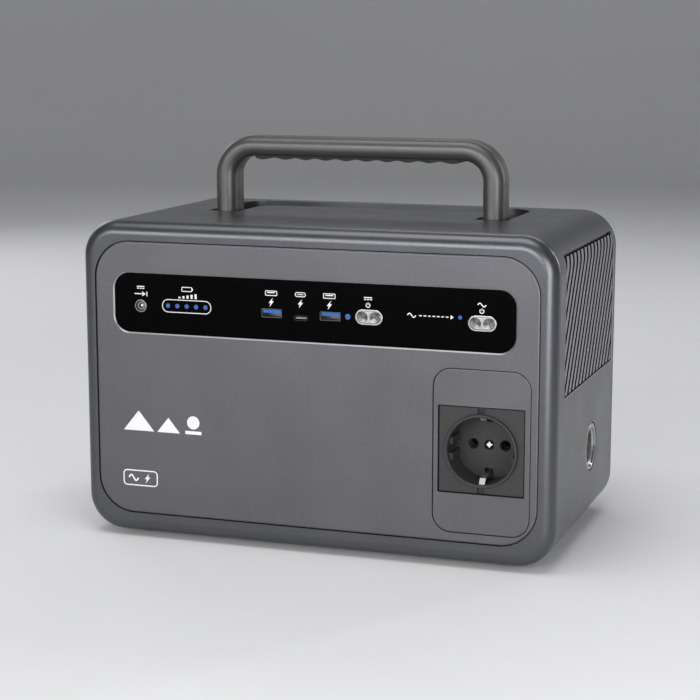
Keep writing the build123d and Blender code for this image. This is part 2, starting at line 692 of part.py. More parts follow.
def grip_pocket():
    z = HANDLE_TOP - BAR_T
    return block(-GRIP_L / 2, GRIP_L / 2, PIVOT_Y - 7.5, PIVOT_Y + 7.5, z - 5, z + 2.5)


def handle_halves():
    blank = handle_blank() - grip_pocket()
    cut_y = PIVOT_Y - HANDLE_T / 2 + SPLIT
    front = blank & block(-100, 100, cut_y - 30, cut_y, 150, 250)
    rear = blank & block(-100, 100, cut_y, cut_y + 30, 150, 250)
    for x, z in handle_screw_places():
        rear -= rod_y(2.8, x, cut_y - 1, cut_y + 30, z)
        rear -= rod_y(5.6, x, PIVOT_Y + HANDLE_T / 2 - 4.5, PIVOT_Y + HANDLE_T / 2 + 1, z)
        front -= rod_y(2.2, x, cut_y - 6, cut_y + 1, z)
    return front, seam_chamfer(rear, cut_y)


def seam_chamfer(rear, y):
    """Fine groove along the seam between the handle's halves, on the outside of the U."""
    outer = []
    for e in edges_at(rear, Axis.Y, y):
        c = e.center()
        on_leg = e.length > 20 and abs(c.X) > GRIP_OUT - 0.1 and c.Z > PIVOT_Z + 12
        if on_leg or c.Z > HANDLE_TOP - 0.1:
            outer.append(e)
    return chamfer(outer, SEAM_GROOVE)


def handle_screw_places():
    z_leg = PIVOT_Z + 22
    z_bar = HANDLE_TOP - 4.5
    x_leg = (GRIP_OUT + GRIP_IN) / 2
    return [(-x_leg, z_leg), (x_leg, z_leg), (-40, z_bar), (40, z_bar)]


def handle_screws():
    y_head = PIVOT_Y + HANDLE_T / 2 - 4.5
    return [screw_y(x, z, y_head, 13.0, 2.2, 4.8, 1.8) for x, z in handle_screw_places()]


def handle_grip():
    """Soft insert under the bar with a wave of finger ripples."""
    z = HANDLE_TOP - BAR_T
    y0, y1 = PIVOT_Y - 7.4, PIVOT_Y + 7.4
    half = GRIP_L / 2 - 0.1
    pitch = 2 * half / RIPPLE_N
    crest, dip = z - 1.7, z - 0.7
    points = []
    for i in range(2 * RIPPLE_N + 1):
        points.append((-half + i * pitch / 2, y0, dip if i % 2 == 0 else crest))
    wave = Spline(*points)
    top = z + 2.5
    side = Line((half, y0, dip), (half, y0, top))
    lid = Line((half, y0, top), (-half, y0, top))
    end = Line((-half, y0, top), (-half, y0, dip))
    return extrude(make_face([wave, side, lid, end]), amount=y1 - y0, dir=(0, 1, 0))


def hinge_pins():
    t = WELL_WALL
    return [rod_x(PIN_D, *sorted((s * (CHANNEL_IN - t), s * (CHANNEL_OUT + t))), PIVOT_Y, PIVOT_Z)
            for s in (-1, 1)]


def friction_washers():
    rings = []
    for s in (-1, 1):
        for x in (GRIP_IN - 0.75, GRIP_OUT + 0.15):
            span = sorted((s * x, s * (x + 0.6)))
            rings.append(rod_x(12, *span, PIVOT_Y, PIVOT_Z) - rod_x(PIN_D + 0.1, span[0] - 1, span[1] + 1,
                                                                  PIVOT_Y, PIVOT_Z))
    return rings


def rest_pad():
    """Strip along the island's back edge that the folded grip is lifted away from."""
    pad = block(-33, 33, ISLAND_BACK, ISLAND_BACK + 1.6, TOP - 6, TOP - 0.4)
    return chamfer(edges_at(pad, Axis.Z, TOP - 0.4), 0.5)


# battery


def cell_centres():
    span = range(CELL_N)
    return [(CELL_X + i * CELL_PITCH, CELL_Y + j * CELL_PITCH) for i in span for j in span]


def pack_plate(z0, z1):
    x0, y0 = CELL_X - CELL_PITCH / 2, CELL_Y - CELL_PITCH / 2
    side = CELL_N * CELL_PITCH
    return block(x0, x0 + side, y0, y0 + side, z0, z1)


def battery_cells():
    return [rod_z(CELL_D, x, y, CELL_Z, CELL_TOP) for x, y in cell_centres()]


def cell_holder(z0, z1):
    plate = pack_plate(z0, z1)
    for x, y in cell_centres():
        plate -= rod_z(CELL_D + 0.3, x, y, z0 - 1, z1 + 1)
    return plate


def bus_strips(z):
    """Nickel strips: one across each row of parallel cells."""
    strips = []
    for i in range(CELL_N):
        x = CELL_X + i * CELL_PITCH
        y0 = CELL_Y - 8
        y1 = CELL_Y + (CELL_N - 1) * CELL_PITCH + 8
        strips.append(block(x - 8, x + 8, y0, y1, z, z + STRIP_T))
    return strips


def bms_fixings():
    return [(BMS_X + side * BMS_FIX_X, y) for side in (-1, 1) for y in BMS_FIX_Y]


def bms_board():
    board = block(BMS_X - 55, BMS_X + 55, -28, 32, BMS_Z, BMS_Z + BOARD_T)
    for x, y in bms_fixings():
        board -= rod_z(2.4, x, y, BMS_Z - 1, BMS_Z + 3)
    return board


def bms_spacers():
    return [rod_z(5, x, y, CELL_TOP + STRIP_T, BMS_Z) for x, y in bms_fixings()]


def bms_parts():
    """A row of power transistors along the board."""
    z = BMS_Z + BOARD_T
    first, pitch, width = BMS_X - 45, 12, 9
    return [block(first + i * pitch, first + i * pitch + width, -18, -10, z, z + 2.2) for i in range(8)]


# power electronics


def inner_deck():
    deck = block(-138, 138, -60, 66, DECK_Z, DECK_Z + DECK_T)
    for x in (-90, -45, 0, 45, 90):
        deck -= pill_z(14, 60, x, -20)
    for x, y in deck_screw_places():
        deck -= rod_z(3.4, x, y, DECK_Z - 1, DECK_Z + 4)
    return deck


def pill_z(w, length, x, y):
    slot = Pos(x, y, DECK_Z - 1) * extrude(RectangleRounded(w, length, w / 2 - 0.1), amount=DECK_T + 2)
    return slot


def deck_screw_places():
    return [(sx * 136.6, sy) for sx in (-1, 1) for sy in (-50, 50)]


def inverter_fixings():
    return [(side * 92, y) for side in (-1, 1) for y in (-50, 54)]


def board_standoffs():
    return [rod_z(6, x, y, DECK_Z + DECK_T, INVERTER_Z) for x, y in inverter_fixings()]


def inverter_board():
    board = block(-98, 98, -56, 60, INVERTER_Z, INVERTER_Z + BOARD_T)
    for x, y in inverter_fixings():
        board -= rod_z(3.2, x, y, INVERTER_Z - 1, INVERTER_Z + 3)
    return board


def heatsink(x):
    """Finned extrusion that stands on the board, fins along Y."""
    z = INVERTER_TOP
    fins, pitch, thick = 7, 6.6, 1.8
    sink = block(x - 2.5, x + 2.5, -46, 44, z, z + 46)
    for i in range(fins):
        fin_z = z + 3 + i * pitch
        sink += block(x, x + 22, -46, 44, fin_z, fin_z + thick)
    return sink


def power_transistors():
    z = INVERTER_TOP
    bodies = []
    for x in (HEATSINKS[0] - 2.5, HEATSINKS[1] - 2.5):
        for i in range(4):
            y = -36 + i * 22
            bodies.append(block(x - 4.6, x, y - 5.2, y + 5.2, z + 10, z + 26))
    return bodies


def bulk_capacitors():
    z = INVERTER_TOP
    cans = []
    for i in range(3):
        can = rod_z(22, 72, -40 + i * 26, z, z + 40)
        cans.append(fillet(edges_at(can, Axis.Z, z + 40), 1.2))
    return cans


def transformer_core():
    z = INVERTER_TOP
    core = block(-22, 6, -24, 24, z, z + 42)
    return core - block(-23, 7, -16, -7, z + 8, z + 34) - block(-23, 7, 7, 16, z + 8, z + 34)


def transformer_coil():
    z = INVERTER_TOP
    outer = block(-28, 12, -15.5, 15.5, z + 8.5, z + 33.5)
    coil = fillet(outer.edges().filter_by(Axis.Z), 5)
    return coil - block(-22.2, 6.2, -7.2, 7.2, z, z + 50)


def ring_choke():
    x, y, z = 60.0, -20.0, FOOT_H + WALL
    ring = rod_z(46, x, y, z, z + 20) - rod_z(20, x, y, z - 1, z + 21)
    return fillet(ring.edges().filter_by(GeomType.CIRCLE), 4)


def fan_frame():
    half = FAN_SIDE / 2
    frame = block(FAN_X0, FAN_X1, FAN_Y - half, FAN_Y + half, FAN_Z - half, FAN_Z + half)
    frame = fillet(frame.edges().filter_by(Axis.X), 3)
    frame -= rod_x(FAN_BORE, FAN_X0 - 1, FAN_X1 + 1, FAN_Y, FAN_Z)
    for y, z in fan_holes():
        frame -= rod_x(4.3, FAN_X0 - 1, FAN_X1 + 1, y, z)
    arm, reach = 1.5, half - 1
    frame += rod_x(24, FAN_X1 - 3, FAN_X1, FAN_Y, FAN_Z)
    frame += block(FAN_X1 - 2.5, FAN_X1, FAN_Y - reach, FAN_Y + reach, FAN_Z - arm, FAN_Z + arm)
    frame += block(FAN_X1 - 2.5, FAN_X1, FAN_Y - arm, FAN_Y + arm, FAN_Z - reach, FAN_Z + reach)
    return frame + rod_x(3.0, FAN_X0 + 6, FAN_X1, FAN_Y, FAN_Z)


def fan_holes():
    return [(FAN_Y + sy * FAN_HOLES, FAN_Z + sz * FAN_HOLES) for sy in (-1, 1) for sz in (-1, 1)]


def fan_rotor():
    x0, x1 = FAN_X0 + 3, FAN_X1 - 3.6
    hub = rod_x(26, x0, x1, FAN_Y, FAN_Z)
    hub = fillet(edges_at(hub, Axis.X, x0), 1.5)
    blade = Pos((x0 + x1) / 2, FAN_Y, FAN_Z + 19.2) * Rot(0, 0, 35) * Box(12.0, 1.4, 15.0)
    spin = Axis((0, FAN_Y, FAN_Z), (1, 0, 0))
    for i in range(FAN_BLADES):
        hub += blade.rotate(spin, i * 360 / FAN_BLADES)
    return hub - rod_x(3.1, x0 + 2.5, x1 + 1, FAN_Y, FAN_Z)


def fan_bracket():
    """Angle plate that carries the fan on the deck."""
    x, foot = FAN_X1, DECK_Z + DECK_T
    y0, y1 = FAN_Y - FAN_SIDE / 2 - 2, FAN_Y + FAN_SIDE / 2 + 2
    plate = block(x, x + 2, y0, y1, foot, FAN_Z + FAN_SIDE / 2)
    plate += block(x, x + 14, y0, y1, foot, foot + 2)
    plate -= rod_x(FAN_BORE, x - 1, x + 3, FAN_Y, FAN_Z)
    for y, z in fan_holes():
        plate -= rod_x(3.4, x - 1, x + 3, y, z)
    return plate


def fan_screws():
    """Screws from the vent's side, through the fan and its bracket."""
    return [rod_x(3.2, FAN_X0, FAN_X1 + 6, y, z) + rod_x(6.0, FAN_X0 - 1.2, FAN_X0, y, z)
            for y, z in fan_holes()]


def main():
    os.makedirs("parts", exist_ok=True)
    save("front_bezel", front_bezel())
    save("front_panel", front_panel())
    save("main_shell", main_shell())
    save("handle_well", handle_well())
    save("rear_cover", rear_cover())
    save("rear_screws", *rear_screws())
    save("rubber_feet", *rubber_feet())
    save("foot_screws", *foot_screws())

    slats = vent_slats()
    tray = vent_tray()
    save("vent_slats_right", *slats)
    save("vent_slats_left", *[mirror(s, Plane.YZ) for s in slats])
    save("vent_tray_right", tray)
    save("vent_tray_left", mirror(tray, Plane.YZ))

    save("control_fascia", control_fascia())
    save("soc_leds", *[led(SOC_LED_D, soc_led_x(i), SOC[1]) for i in range(SOC_LEDS)])
    save("status_leds", led(DC_LED_D, *DC_LED), led(AC_LED_D, *AC_LED))
    save("button_rims", button_rim(*DC_BUTTON), button_rim(*AC_BUTTON))
    save("dc_power_button", button_cap(*DC_BUTTON))
    save("ac_power_button", button_cap(*AC_BUTTON))
    save("tact_switches", tact_switch(*DC_BUTTON), tact_switch(*AC_BUTTON))
    save("usb_a_shells", *[usb_a_shell(*p) for p in USB_A])
    save("usb_a_tongues", *[usb_a_tongue(*p) for p in USB_A])
    save("usb_c_shell", usb_c_shell())
    save("usb_c_tongue", usb_c_tongue())
    save("dc_input_jack", dc_jack())
    save("dc_input_pin", dc_jack_pin())
    save("control_board", control_board(), *board_chips())
    save("inner_screws", *board_screw_set(), *fan_screws())

    save("socket_plate", socket_plate())
    save("socket_body", socket_body())
    save("socket_rear_housing", socket_rear())
    save("socket_earth_clips", *earth_clips())
    save("socket_contact_sleeves", *contact_sleeves())
    save("socket_screw", socket_screw())

    save("car_socket_flange", car_flange())
    save("car_socket_barrel", car_barrel())
    save("car_socket_base", car_base())
    save("car_socket_contact", car_contact())
    save("car_socket_nut", car_nut())

    front, rear = handle_halves()
    save("handle_front_cover", front)
    save("handle_rear_cover", rear)
    save("handle_grip", handle_grip())
    save("handle_screws", *handle_screws())
    save("hinge_pins", *hinge_pins())
    save("friction_washers", *friction_washers())
    save("handle_rest_pad", rest_pad())

    save("battery_cells", *battery_cells())
    save("cell_holders", cell_holder(CELL_Z, CELL_Z + HOLDER_H), cell_holder(CELL_TOP - HOLDER_H, CELL_TOP))
    save("bus_strips", *bus_strips(CELL_Z - STRIP_T), *bus_strips(CELL_TOP))
    save("battery_pad", pack_plate(FOOT_H + WALL, CELL_Z - STRIP_T))
    save("bms_board", bms_board(), *bms_spacers(), *bms_parts())

    save("inner_deck", inner_deck())
    save("inverter_board", inverter_board(), *board_standoffs())
    save("heatsinks", *[heatsink(x) for x in HEATSINKS])
    save("power_transistors", *power_transistors())
    save("bulk_capacitors", *bulk_capacitors())
    save("transformer_core", transformer_core())
    save("transformer_coil", transformer_coil())
    save("ring_choke", ring_choke())
    save("fan_frame", fan_frame(), fan_bracket())
    save("fan_rotor", fan_rotor())


main()
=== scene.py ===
import bpy
import json
import math
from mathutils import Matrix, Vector


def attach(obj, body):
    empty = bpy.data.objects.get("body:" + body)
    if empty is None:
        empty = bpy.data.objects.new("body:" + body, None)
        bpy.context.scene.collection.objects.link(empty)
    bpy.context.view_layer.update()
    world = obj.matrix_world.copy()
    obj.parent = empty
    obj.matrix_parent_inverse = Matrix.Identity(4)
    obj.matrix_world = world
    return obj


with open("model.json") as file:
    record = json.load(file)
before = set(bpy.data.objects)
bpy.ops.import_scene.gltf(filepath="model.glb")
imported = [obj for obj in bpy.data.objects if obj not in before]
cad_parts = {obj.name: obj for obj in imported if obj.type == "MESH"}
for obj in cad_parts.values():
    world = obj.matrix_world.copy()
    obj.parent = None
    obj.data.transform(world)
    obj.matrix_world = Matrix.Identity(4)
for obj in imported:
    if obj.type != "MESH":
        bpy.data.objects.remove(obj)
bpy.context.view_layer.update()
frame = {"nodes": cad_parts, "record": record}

MM = 0.001

# Places on the object that the materials and the print need. The case, in metres.
CASE_HALF_W, CASE_TOP, CASE_R = 0.145, 0.1915, 0.022
PANEL_FACE, SOCKET_FACE = -0.0840, -0.0832
FASCIA_WINDOW = (-0.0007, 0.1434, 0.12275, 0.0178)   # x, z, half width, half height
PLATE_WINDOW = (0.1029, 0.0684, 0.0282, 0.0472)
VENT_WINDOW = (0.0055, 0.1385, 0.0665, 0.0409)       # y, z, half depth, half height
SOCKET_CENTRE = (0.1028, 0.0693)
SOCKET_RIM_R = 0.0213
SCREW_FLOOR = -0.0657
# Depth under the case's outside below which the slat flanks are coloured near black as painted shade.
SLAT_SHADE_DEPTH = 0.00073
HANDLE_SEAM_Y = 0.0045
CHAMFER = 0.00055

# The controls, in millimetres (x, z).
DC_IN = (-106.5, 141.6)
DC_BUTTON = (36.1, 142.0)
AC_BUTTON = (102.6, 141.9)
DISH_OFFSET = 3.8
# Radii of the painted highlight rings on the DC input jack, in metres.
JACK_HIGHLIGHT_RINGS = ((0.0031, 0.0042), (0.0014, 0.0024))

GUNMETAL = (0.100, 0.102, 0.111)
PANEL_GREY = (0.118, 0.118, 0.129)
NEAR_BLACK = (0.004, 0.004, 0.004)

# ---------------------------------------------------------------- node helpers


class Shader:
    """A Principled material whose colour, roughness and relief come from procedural nodes."""

    def __init__(self, name, rough, metallic=0.0, **constants):
        self.name = name
        self.mat = bpy.data.materials.new(name)
        self.mat.use_nodes = True
        self.tree = self.mat.node_tree
        self.bsdf = self.tree.nodes["Principled BSDF"]
        self.coord = self.tree.nodes.new("ShaderNodeTexCoord").outputs["Object"]
        self.bsdf.inputs["Roughness"].default_value = rough
        self.bsdf.inputs["Metallic"].default_value = metallic
        for key, value in constants.items():
            self.bsdf.inputs[key.replace("_", " ")].default_value = value
        self.normal = None

    def node(self, kind, **settings):
        n = self.tree.nodes.new(kind)
        for key, value in settings.items():
            setattr(n, key, value)
        return n

    def link(self, source, target):
        self.tree.links.new(source, target)

    def value(self, target, v):
        if isinstance(v, (int, float)):
            target.default_value = v
        else:
            self.link(v, target)

    def math(self, op, a, b=0.0, clamp=False):
        n = self.node("ShaderNodeMath", operation=op, use_clamp=clamp)
        self.value(n.inputs[0], a)
        self.value(n.inputs[1], b)
        return n.outputs[0]

    def xyz(self):
        n = self.node("ShaderNodeSeparateXYZ")
        self.link(self.coord, n.inputs[0])
        return n.outputs

    def both(self, *masks):
        """1 where every mask is 1."""
        out = masks[0]
        for mask in masks[1:]:
            out = self.math("MULTIPLY", out, mask)
        return out

    def off(self, axis, centre):
        """Distance of a coordinate from centre, either way."""
        return self.math("ABSOLUTE", self.math("SUBTRACT", axis, centre))

    def within(self, axis, centre, half):
        """1 where a coordinate is within half of centre, else 0."""
        return self.math("LESS_THAN", self.off(axis, centre), half)

    def between(self, source, lo, hi):
        """1 where a value lies between two others, else 0."""
        return self.both(self.math("GREATER_THAN", source, lo), self.math("LESS_THAN", source, hi))

    def radius(self, a, b):
        """Length of the hypotenuse of a and b."""
        squares = self.math("ADD", self.math("MULTIPLY", a, a), self.math("MULTIPLY", b, b))
        return self.math("SQRT", squares)

    def radius_in_front(self, x, z):
        """Distance from a centre, measured on the front face."""
        px, _, pz = self.xyz()
        return self.radius(self.math("SUBTRACT", px, x), self.math("SUBTRACT", pz, z))

    def skin_depth(self):
        """How far a point near a side or upper corner lies under the outside of the case."""
        px, _, pz = self.xyz()
        across = self.math("SUBTRACT", self.math("ABSOLUTE", px), CASE_HALF_W - CASE_R)
        up = self.math("MAXIMUM", self.math("SUBTRACT", pz, CASE_TOP - CASE_R), 0.0)
        return self.math("SUBTRACT", CASE_R, self.radius(across, up))

    def noise(self, size, detail=2.0, rough=0.5, stretch=None):
        """Noise with features about size metres across."""
        source = self.coord
        if stretch:
            m = self.node("ShaderNodeMapping")
            m.inputs["Scale"].default_value = stretch
            self.link(source, m.inputs["Vector"])
            source = m.outputs[0]
        n = self.node("ShaderNodeTexNoise")
        n.inputs["Scale"].default_value = 1.0 / size
        n.inputs["Detail"].default_value = detail
        n.inputs["Roughness"].default_value = rough
        self.link(source, n.inputs["Vector"])
        return n.outputs["Fac"]

    def remap(self, source, lo, hi, f0=0.3, f1=0.7):
        n = self.node("ShaderNodeMapRange")
        self.link(source, n.inputs["Value"])
        for key, v in (("From Min", f0), ("From Max", f1), ("To Min", lo), ("To Max", hi)):
            n.inputs[key].default_value = v
        return n.outputs["Result"]

    def mix(self, fac, a, b):
        n = self.node("ShaderNodeMix", data_type="RGBA")
        self.value(n.inputs["Factor"], fac)
        for key, v in ((6, a), (7, b)):
            if isinstance(v, tuple):
                n.inputs[key].default_value = (*v, 1)
            else:
                self.link(v, n.inputs[key])
        return n.outputs[2]

    def colour(self, base, spread=0.06, size=0.05, fleck=0.0, fleck_size=0.0006):
        """Base colour with slow drift over the surface and, if asked, fine flecks."""
        dark = tuple(c * (1 - spread) for c in base)
        light = tuple(min(1, c * (1 + spread)) for c in base)
        out = self.mix(self.remap(self.noise(size, 3), 0, 1), dark, light)
        if fleck:
            speck = self.remap(self.noise(fleck_size, 1), 0, fleck, 0.45, 0.75)
            out = self.mix(speck, out, tuple(min(1, c * 2.2 + 0.02) for c in base))
        self.link(out, self.bsdf.inputs["Base Color"])
        return out

    def tint(self, mask, colour):
        """Lay a colour over the base colour where the mask is 1."""
        skin = self.bsdf.inputs["Base Color"].links[0].from_socket
        self.link(self.mix(mask, skin, colour), self.bsdf.inputs["Base Color"])

    def roughness(self, centre, spread, size=0.012):
        r = self.remap(self.noise(size, 4, 0.6), centre - spread, centre + spread)
        self.link(r, self.bsdf.inputs["Roughness"])

    def bump(self, height, depth, strength=1.0):
        n = self.node("ShaderNodeBump")
        n.inputs["Distance"].default_value = depth
        n.inputs["Strength"].default_value = strength
        self.value(n.inputs["Height"], height)
        if self.normal:
            self.link(self.normal, n.inputs["Normal"])
        self.normal = n.outputs[0]
        self.link(self.normal, self.bsdf.inputs["Normal"])


def painted(name, base, rough, metallic=0.35, grain=0.00045, depth=0.00001, **constants):
    """Satin metallic paint or moulding with a fine orange-peel grain."""
    s = Shader(name, rough, metallic, **constants)
    s.colour(base, 0.05, 0.06, 0.18, grain)
    s.roughness(rough, 0.035, 0.03)
    s.bump(s.noise(grain, 2), depth)
    return s


def moulded(name, base, rough, grain=0.0006, depth=0.00003, spread=0.07, **constants):
    """Spark-eroded plastic: fine even pits and slightly uneven gloss."""
    s = Shader(name, rough, 0.0, **constants)
    s.colour(base, spread, 0.025)
    s.roughness(rough, 0.06, 0.009)
    s.bump(s.noise(grain, 3, 0.6), depth)
    return s


def metal(name, base, rough, stretch=(1, 1, 1), size=0.0008, depth=0.000012, **constants):
    """Bare metal with a drawn or turned surface."""
    s = Shader(name, rough, 1.0, **constants)
    s.colour(base, 0.07, 0.008)
    s.roughness(rough, 0.07, 0.004)
    s.bump(s.noise(size, 3, 0.6, stretch), depth)
    return s


def brushed_dishes(name, x, z, offset):
    """Two turned dishes side by side: painted sheen as streaks that brighten and darken round each
    centre, and a rim coloured light as a painted highlight outside.
    """
    dish_r, blend, tool_pitch = 0.0031, 0.0003, 0.00022
    s = Shader(name, 0.3, 1.0)
    px, _, pz = s.xyz()
    away = s.math("SUBTRACT", s.off(px, x), offset)
    up = s.math("SUBTRACT", pz, z)
    r = s.radius(away, up)
    turn = s.math("ARCTAN2", up, away)
    painted_sheen = s.math("ABSOLUTE", s.math("COSINE", s.math("MULTIPLY", turn, 1.5)))
    sheen_streaks = s.mix(painted_sheen, (0.055, 0.049, 0.052), (0.19, 0.178, 0.186))
    worn = s.mix(s.remap(s.noise(0.0005, 3), 0.0, 0.15), sheen_streaks, (0.5, 0.5, 0.5))
    rim = s.remap(r, 0, 1, dish_r, dish_r + blend)
    s.link(s.mix(rim, worn, (0.50, 0.49, 0.49)), s.bsdf.inputs["Base Color"])
    s.bump(s.math("SINE", s.math("MULTIPLY", r, 2 * math.pi / tool_pitch)), 0.000004)
    s.roughness(0.30, 0.05, 0.0015)
    return s


def glowing(name, base, strength):
    """Lit lens, a little uneven, with a diffused lamp behind it."""
    s = Shader(name, 0.25)
    glow = s.colour(base, 0.35, 0.0011)
    s.link(glow, s.bsdf.inputs["Emission Color"])
    s.bsdf.inputs["Emission Strength"].default_value = strength
    s.roughness(0.25, 0.05, 0.001)
    return s


def circuit_board(name):
    """Green lacquer over raised tracks."""
    s = Shader(name, 0.4, 0.0)
    cells = s.node("ShaderNodeTexVoronoi", feature="DISTANCE_TO_EDGE")
    cells.inputs["Scale"].default_value = 160
    s.link(s.coord, cells.inputs["Vector"])
    track = s.remap(cells.outputs["Distance"], 1, 0, 0.02, 0.06)
    s.link(s.mix(track, (0.01, 0.10, 0.035), (0.03, 0.19, 0.07)), s.bsdf.inputs["Base Color"])
    s.bump(track, 0.00004)
    return s


def wound(name):
    """Lacquered copper wire laid in turns."""
    s = Shader(name, 0.28, 0.85)
    s.colour((0.60, 0.25, 0.10), 0.12, 0.006)
    wave = s.node("ShaderNodeTexWave", bands_direction="DIAGONAL")
    wave.inputs["Scale"].default_value = 420
    wave.inputs["Distortion"].default_value = 0.6
    s.link(s.coord, wave.inputs["Vector"])
    s.bump(wave.outputs["Fac"], 0.0003)
    return s


def tipped_slat(name, face):
    """Slats whose outer faces are grey and whose flanks, inside the recess, are coloured near black
    as painted shade.
    """
    blend = 0.00004
    s = painted(name, face, 0.34, 0.3, Specular_IOR_Level=0.2)
    shaded_flank = s.remap(s.skin_depth(), 0, 1, SLAT_SHADE_DEPTH - blend, SLAT_SHADE_DEPTH + blend)
    s.tint(shaded_flank, NEAR_BLACK)
    s.link(s.remap(shaded_flank, 0.34, 1.0, 0, 1), s.bsdf.inputs["Roughness"])
    s.link(s.remap(shaded_flank, 0.3, 0.0, 0, 1), s.bsdf.inputs["Metallic"])
    return s


def vent_highlighted_shell(name, base):
    """Painted shell whose vent window edges are coloured light grey as a painted highlight, in place
    of light caught by their chamfers.
    """
    y, z, half_d, half_h = VENT_WINDOW
    margin = 0.0006
    s = painted(name, base, 0.33, 0.85)
    py, pz = s.xyz()[1:3]
    vent_edge_highlight = s.both(s.between(s.skin_depth(), 0.00005, CHAMFER),
                  s.within(py, y, half_d + margin), s.within(pz, z, half_h + margin))
    s.tint(vent_edge_highlight, (0.42, 0.42, 0.43))
    return s


def seamed_handle(name, base):
    """Satin handle with a dark line where its two halves meet."""
    s = painted(name, base, 0.42, 0.75)
    s.tint(s.remap(s.off(s.xyz()[1], HANDLE_SEAM_Y), 1.0, 0.0, 0.00028, 0.00042), NEAR_BLACK)
    return s


def lip_highlighted_panel(name, base):
    """Painted panel whose lip round the fascia's window is coloured light grey as a painted
    highlight, with a fainter painted highlight on the lips outside.
    """
    margin = 0.001
    s = painted(name, base, 0.40, 0.75)
    px, py, pz = s.xyz()
    near = [s.both(s.within(px, x, half_w + margin), s.within(pz, z, half_h + margin))
            for x, z, half_w, half_h in (FASCIA_WINDOW, PLATE_WINDOW)]
    elsewhere = s.math("SUBTRACT", 1.0, s.math("MAXIMUM", *near))
    outer_lip_highlight = s.both(elsewhere, s.math("GREATER_THAN", py, PANEL_FACE + 0.0002))
    window_lip_highlight = s.both(near[0], s.math("GREATER_THAN", py, PANEL_FACE + 0.00005))
    s.tint(outer_lip_highlight, (0.24, 0.24, 0.25))
    s.tint(window_lip_highlight, (0.34, 0.34, 0.35))
    return s


def ringed(name, x, z, highlight_radii, bright, dark, rough=0.3):
    """Metal seen end on, with painted highlight rings bright between each pair of radii, and dark
    elsewhere.
    """
    s = Shader(name, rough, 1.0)
    r = s.radius_in_front(x, z)
    mask = 0.0
    for inner, outer in highlight_radii:
        mask = s.math("MAXIMUM", mask, s.between(r, inner, outer))
    grain = s.remap(s.noise(0.0008, 3), 0.85, 1.15)
    even = s.math("MULTIPLY", mask, grain, True)
    s.link(s.mix(even, dark, bright), s.bsdf.inputs["Base Color"])
    s.roughness(rough, 0.06, 0.002)
    s.bump(s.noise(0.0004, 2), 0.000008)
    return s


def sunk_star(name):
    """Blackened screw head whose recess is coloured near white as a painted highlight."""
    s = Shader(name, 0.3, 1.0)
    star_highlight = s.remap(s.xyz()[1], 0.0, 1.0, SCREW_FLOOR + 0.0003, SCREW_FLOOR + 0.0005)
    s.link(s.mix(star_highlight, (0.012, 0.012, 0.012), (0.95, 0.95, 0.95)), s.bsdf.inputs["Base Color"])
    s.roughness(0.32, 0.05, 0.002)
    s.bump(s.noise(0.0004, 2), 0.000008)
    return s


def grooved_socket(name, base):
    """Grained socket plastic with painted shade, near black, in the sunk grooves above and below the
    rim.
    """
    s = moulded(name, base, 0.5, 0.0005, 0.00002)
    outside = s.math("GREATER_THAN", s.radius_in_front(*SOCKET_CENTRE), SOCKET_RIM_R)
    sunk = s.math("GREATER_THAN", s.xyz()[1], SOCKET_FACE + 0.0004)
    s.tint(s.both(outside, sunk), NEAR_BLACK)
    return s


def make_finishes():
    """One material for each slot that the record names."""
    shaders = (
        painted("gunmetal", GUNMETAL, 0.33, 0.85),
        lip_highlighted_panel("panel_grey", PANEL_GREY),
        tipped_slat("slat_grey", (0.23, 0.23, 0.24)),
        moulded("black_plastic", (0.010, 0.010, 0.011), 0.5),
        moulded("fascia_black", (0.0012, 0.0012, 0.0013), 0.07, 0.02, 0.000002,
                Specular_IOR_Level=0.02),
        seamed_handle("handle_grey", (0.106, 0.102, 0.104)),
        moulded("grip_rubber", (0.010, 0.010, 0.011), 0.72, 0.0005, 0.00006),
        grooved_socket("socket_grey", (0.022, 0.022, 0.021)),
        metal("steel", (0.62, 0.62, 0.63), 0.30),
        metal("button_metal", (0.60, 0.58, 0.60), 0.24),
        glowing("blue_led", (0.022, 0.085, 0.30), 0.34),
        moulded("usb_blue", (0.006, 0.125, 0.46), 0.30),
        moulded("foot_rubber", (0.018, 0.018, 0.018), 0.8, 0.0008, 0.00008),
        moulded("cell_wrap", (0.03, 0.16, 0.36), 0.3, 0.004, 0.00002),
        moulded("holder", (0.05, 0.05, 0.053), 0.55),
        metal("nickel", (0.62, 0.60, 0.54), 0.22),
        moulded("foam", (0.10, 0.10, 0.10), 0.9, 0.0012, 0.0004),
        circuit_board("board"),
        metal("aluminium", (0.60, 0.61, 0.62), 0.34, (1, 0.06, 1)),
        metal("brass", (0.62, 0.43, 0.17), 0.25),
        moulded("ferrite", (0.06, 0.06, 0.064), 0.5, 0.0008, 0.00006),
        wound("copper_winding"),
        moulded("switch_grey", (0.10, 0.10, 0.10), 0.5),
    )
    return {s.name: s.mat for s in shaders}


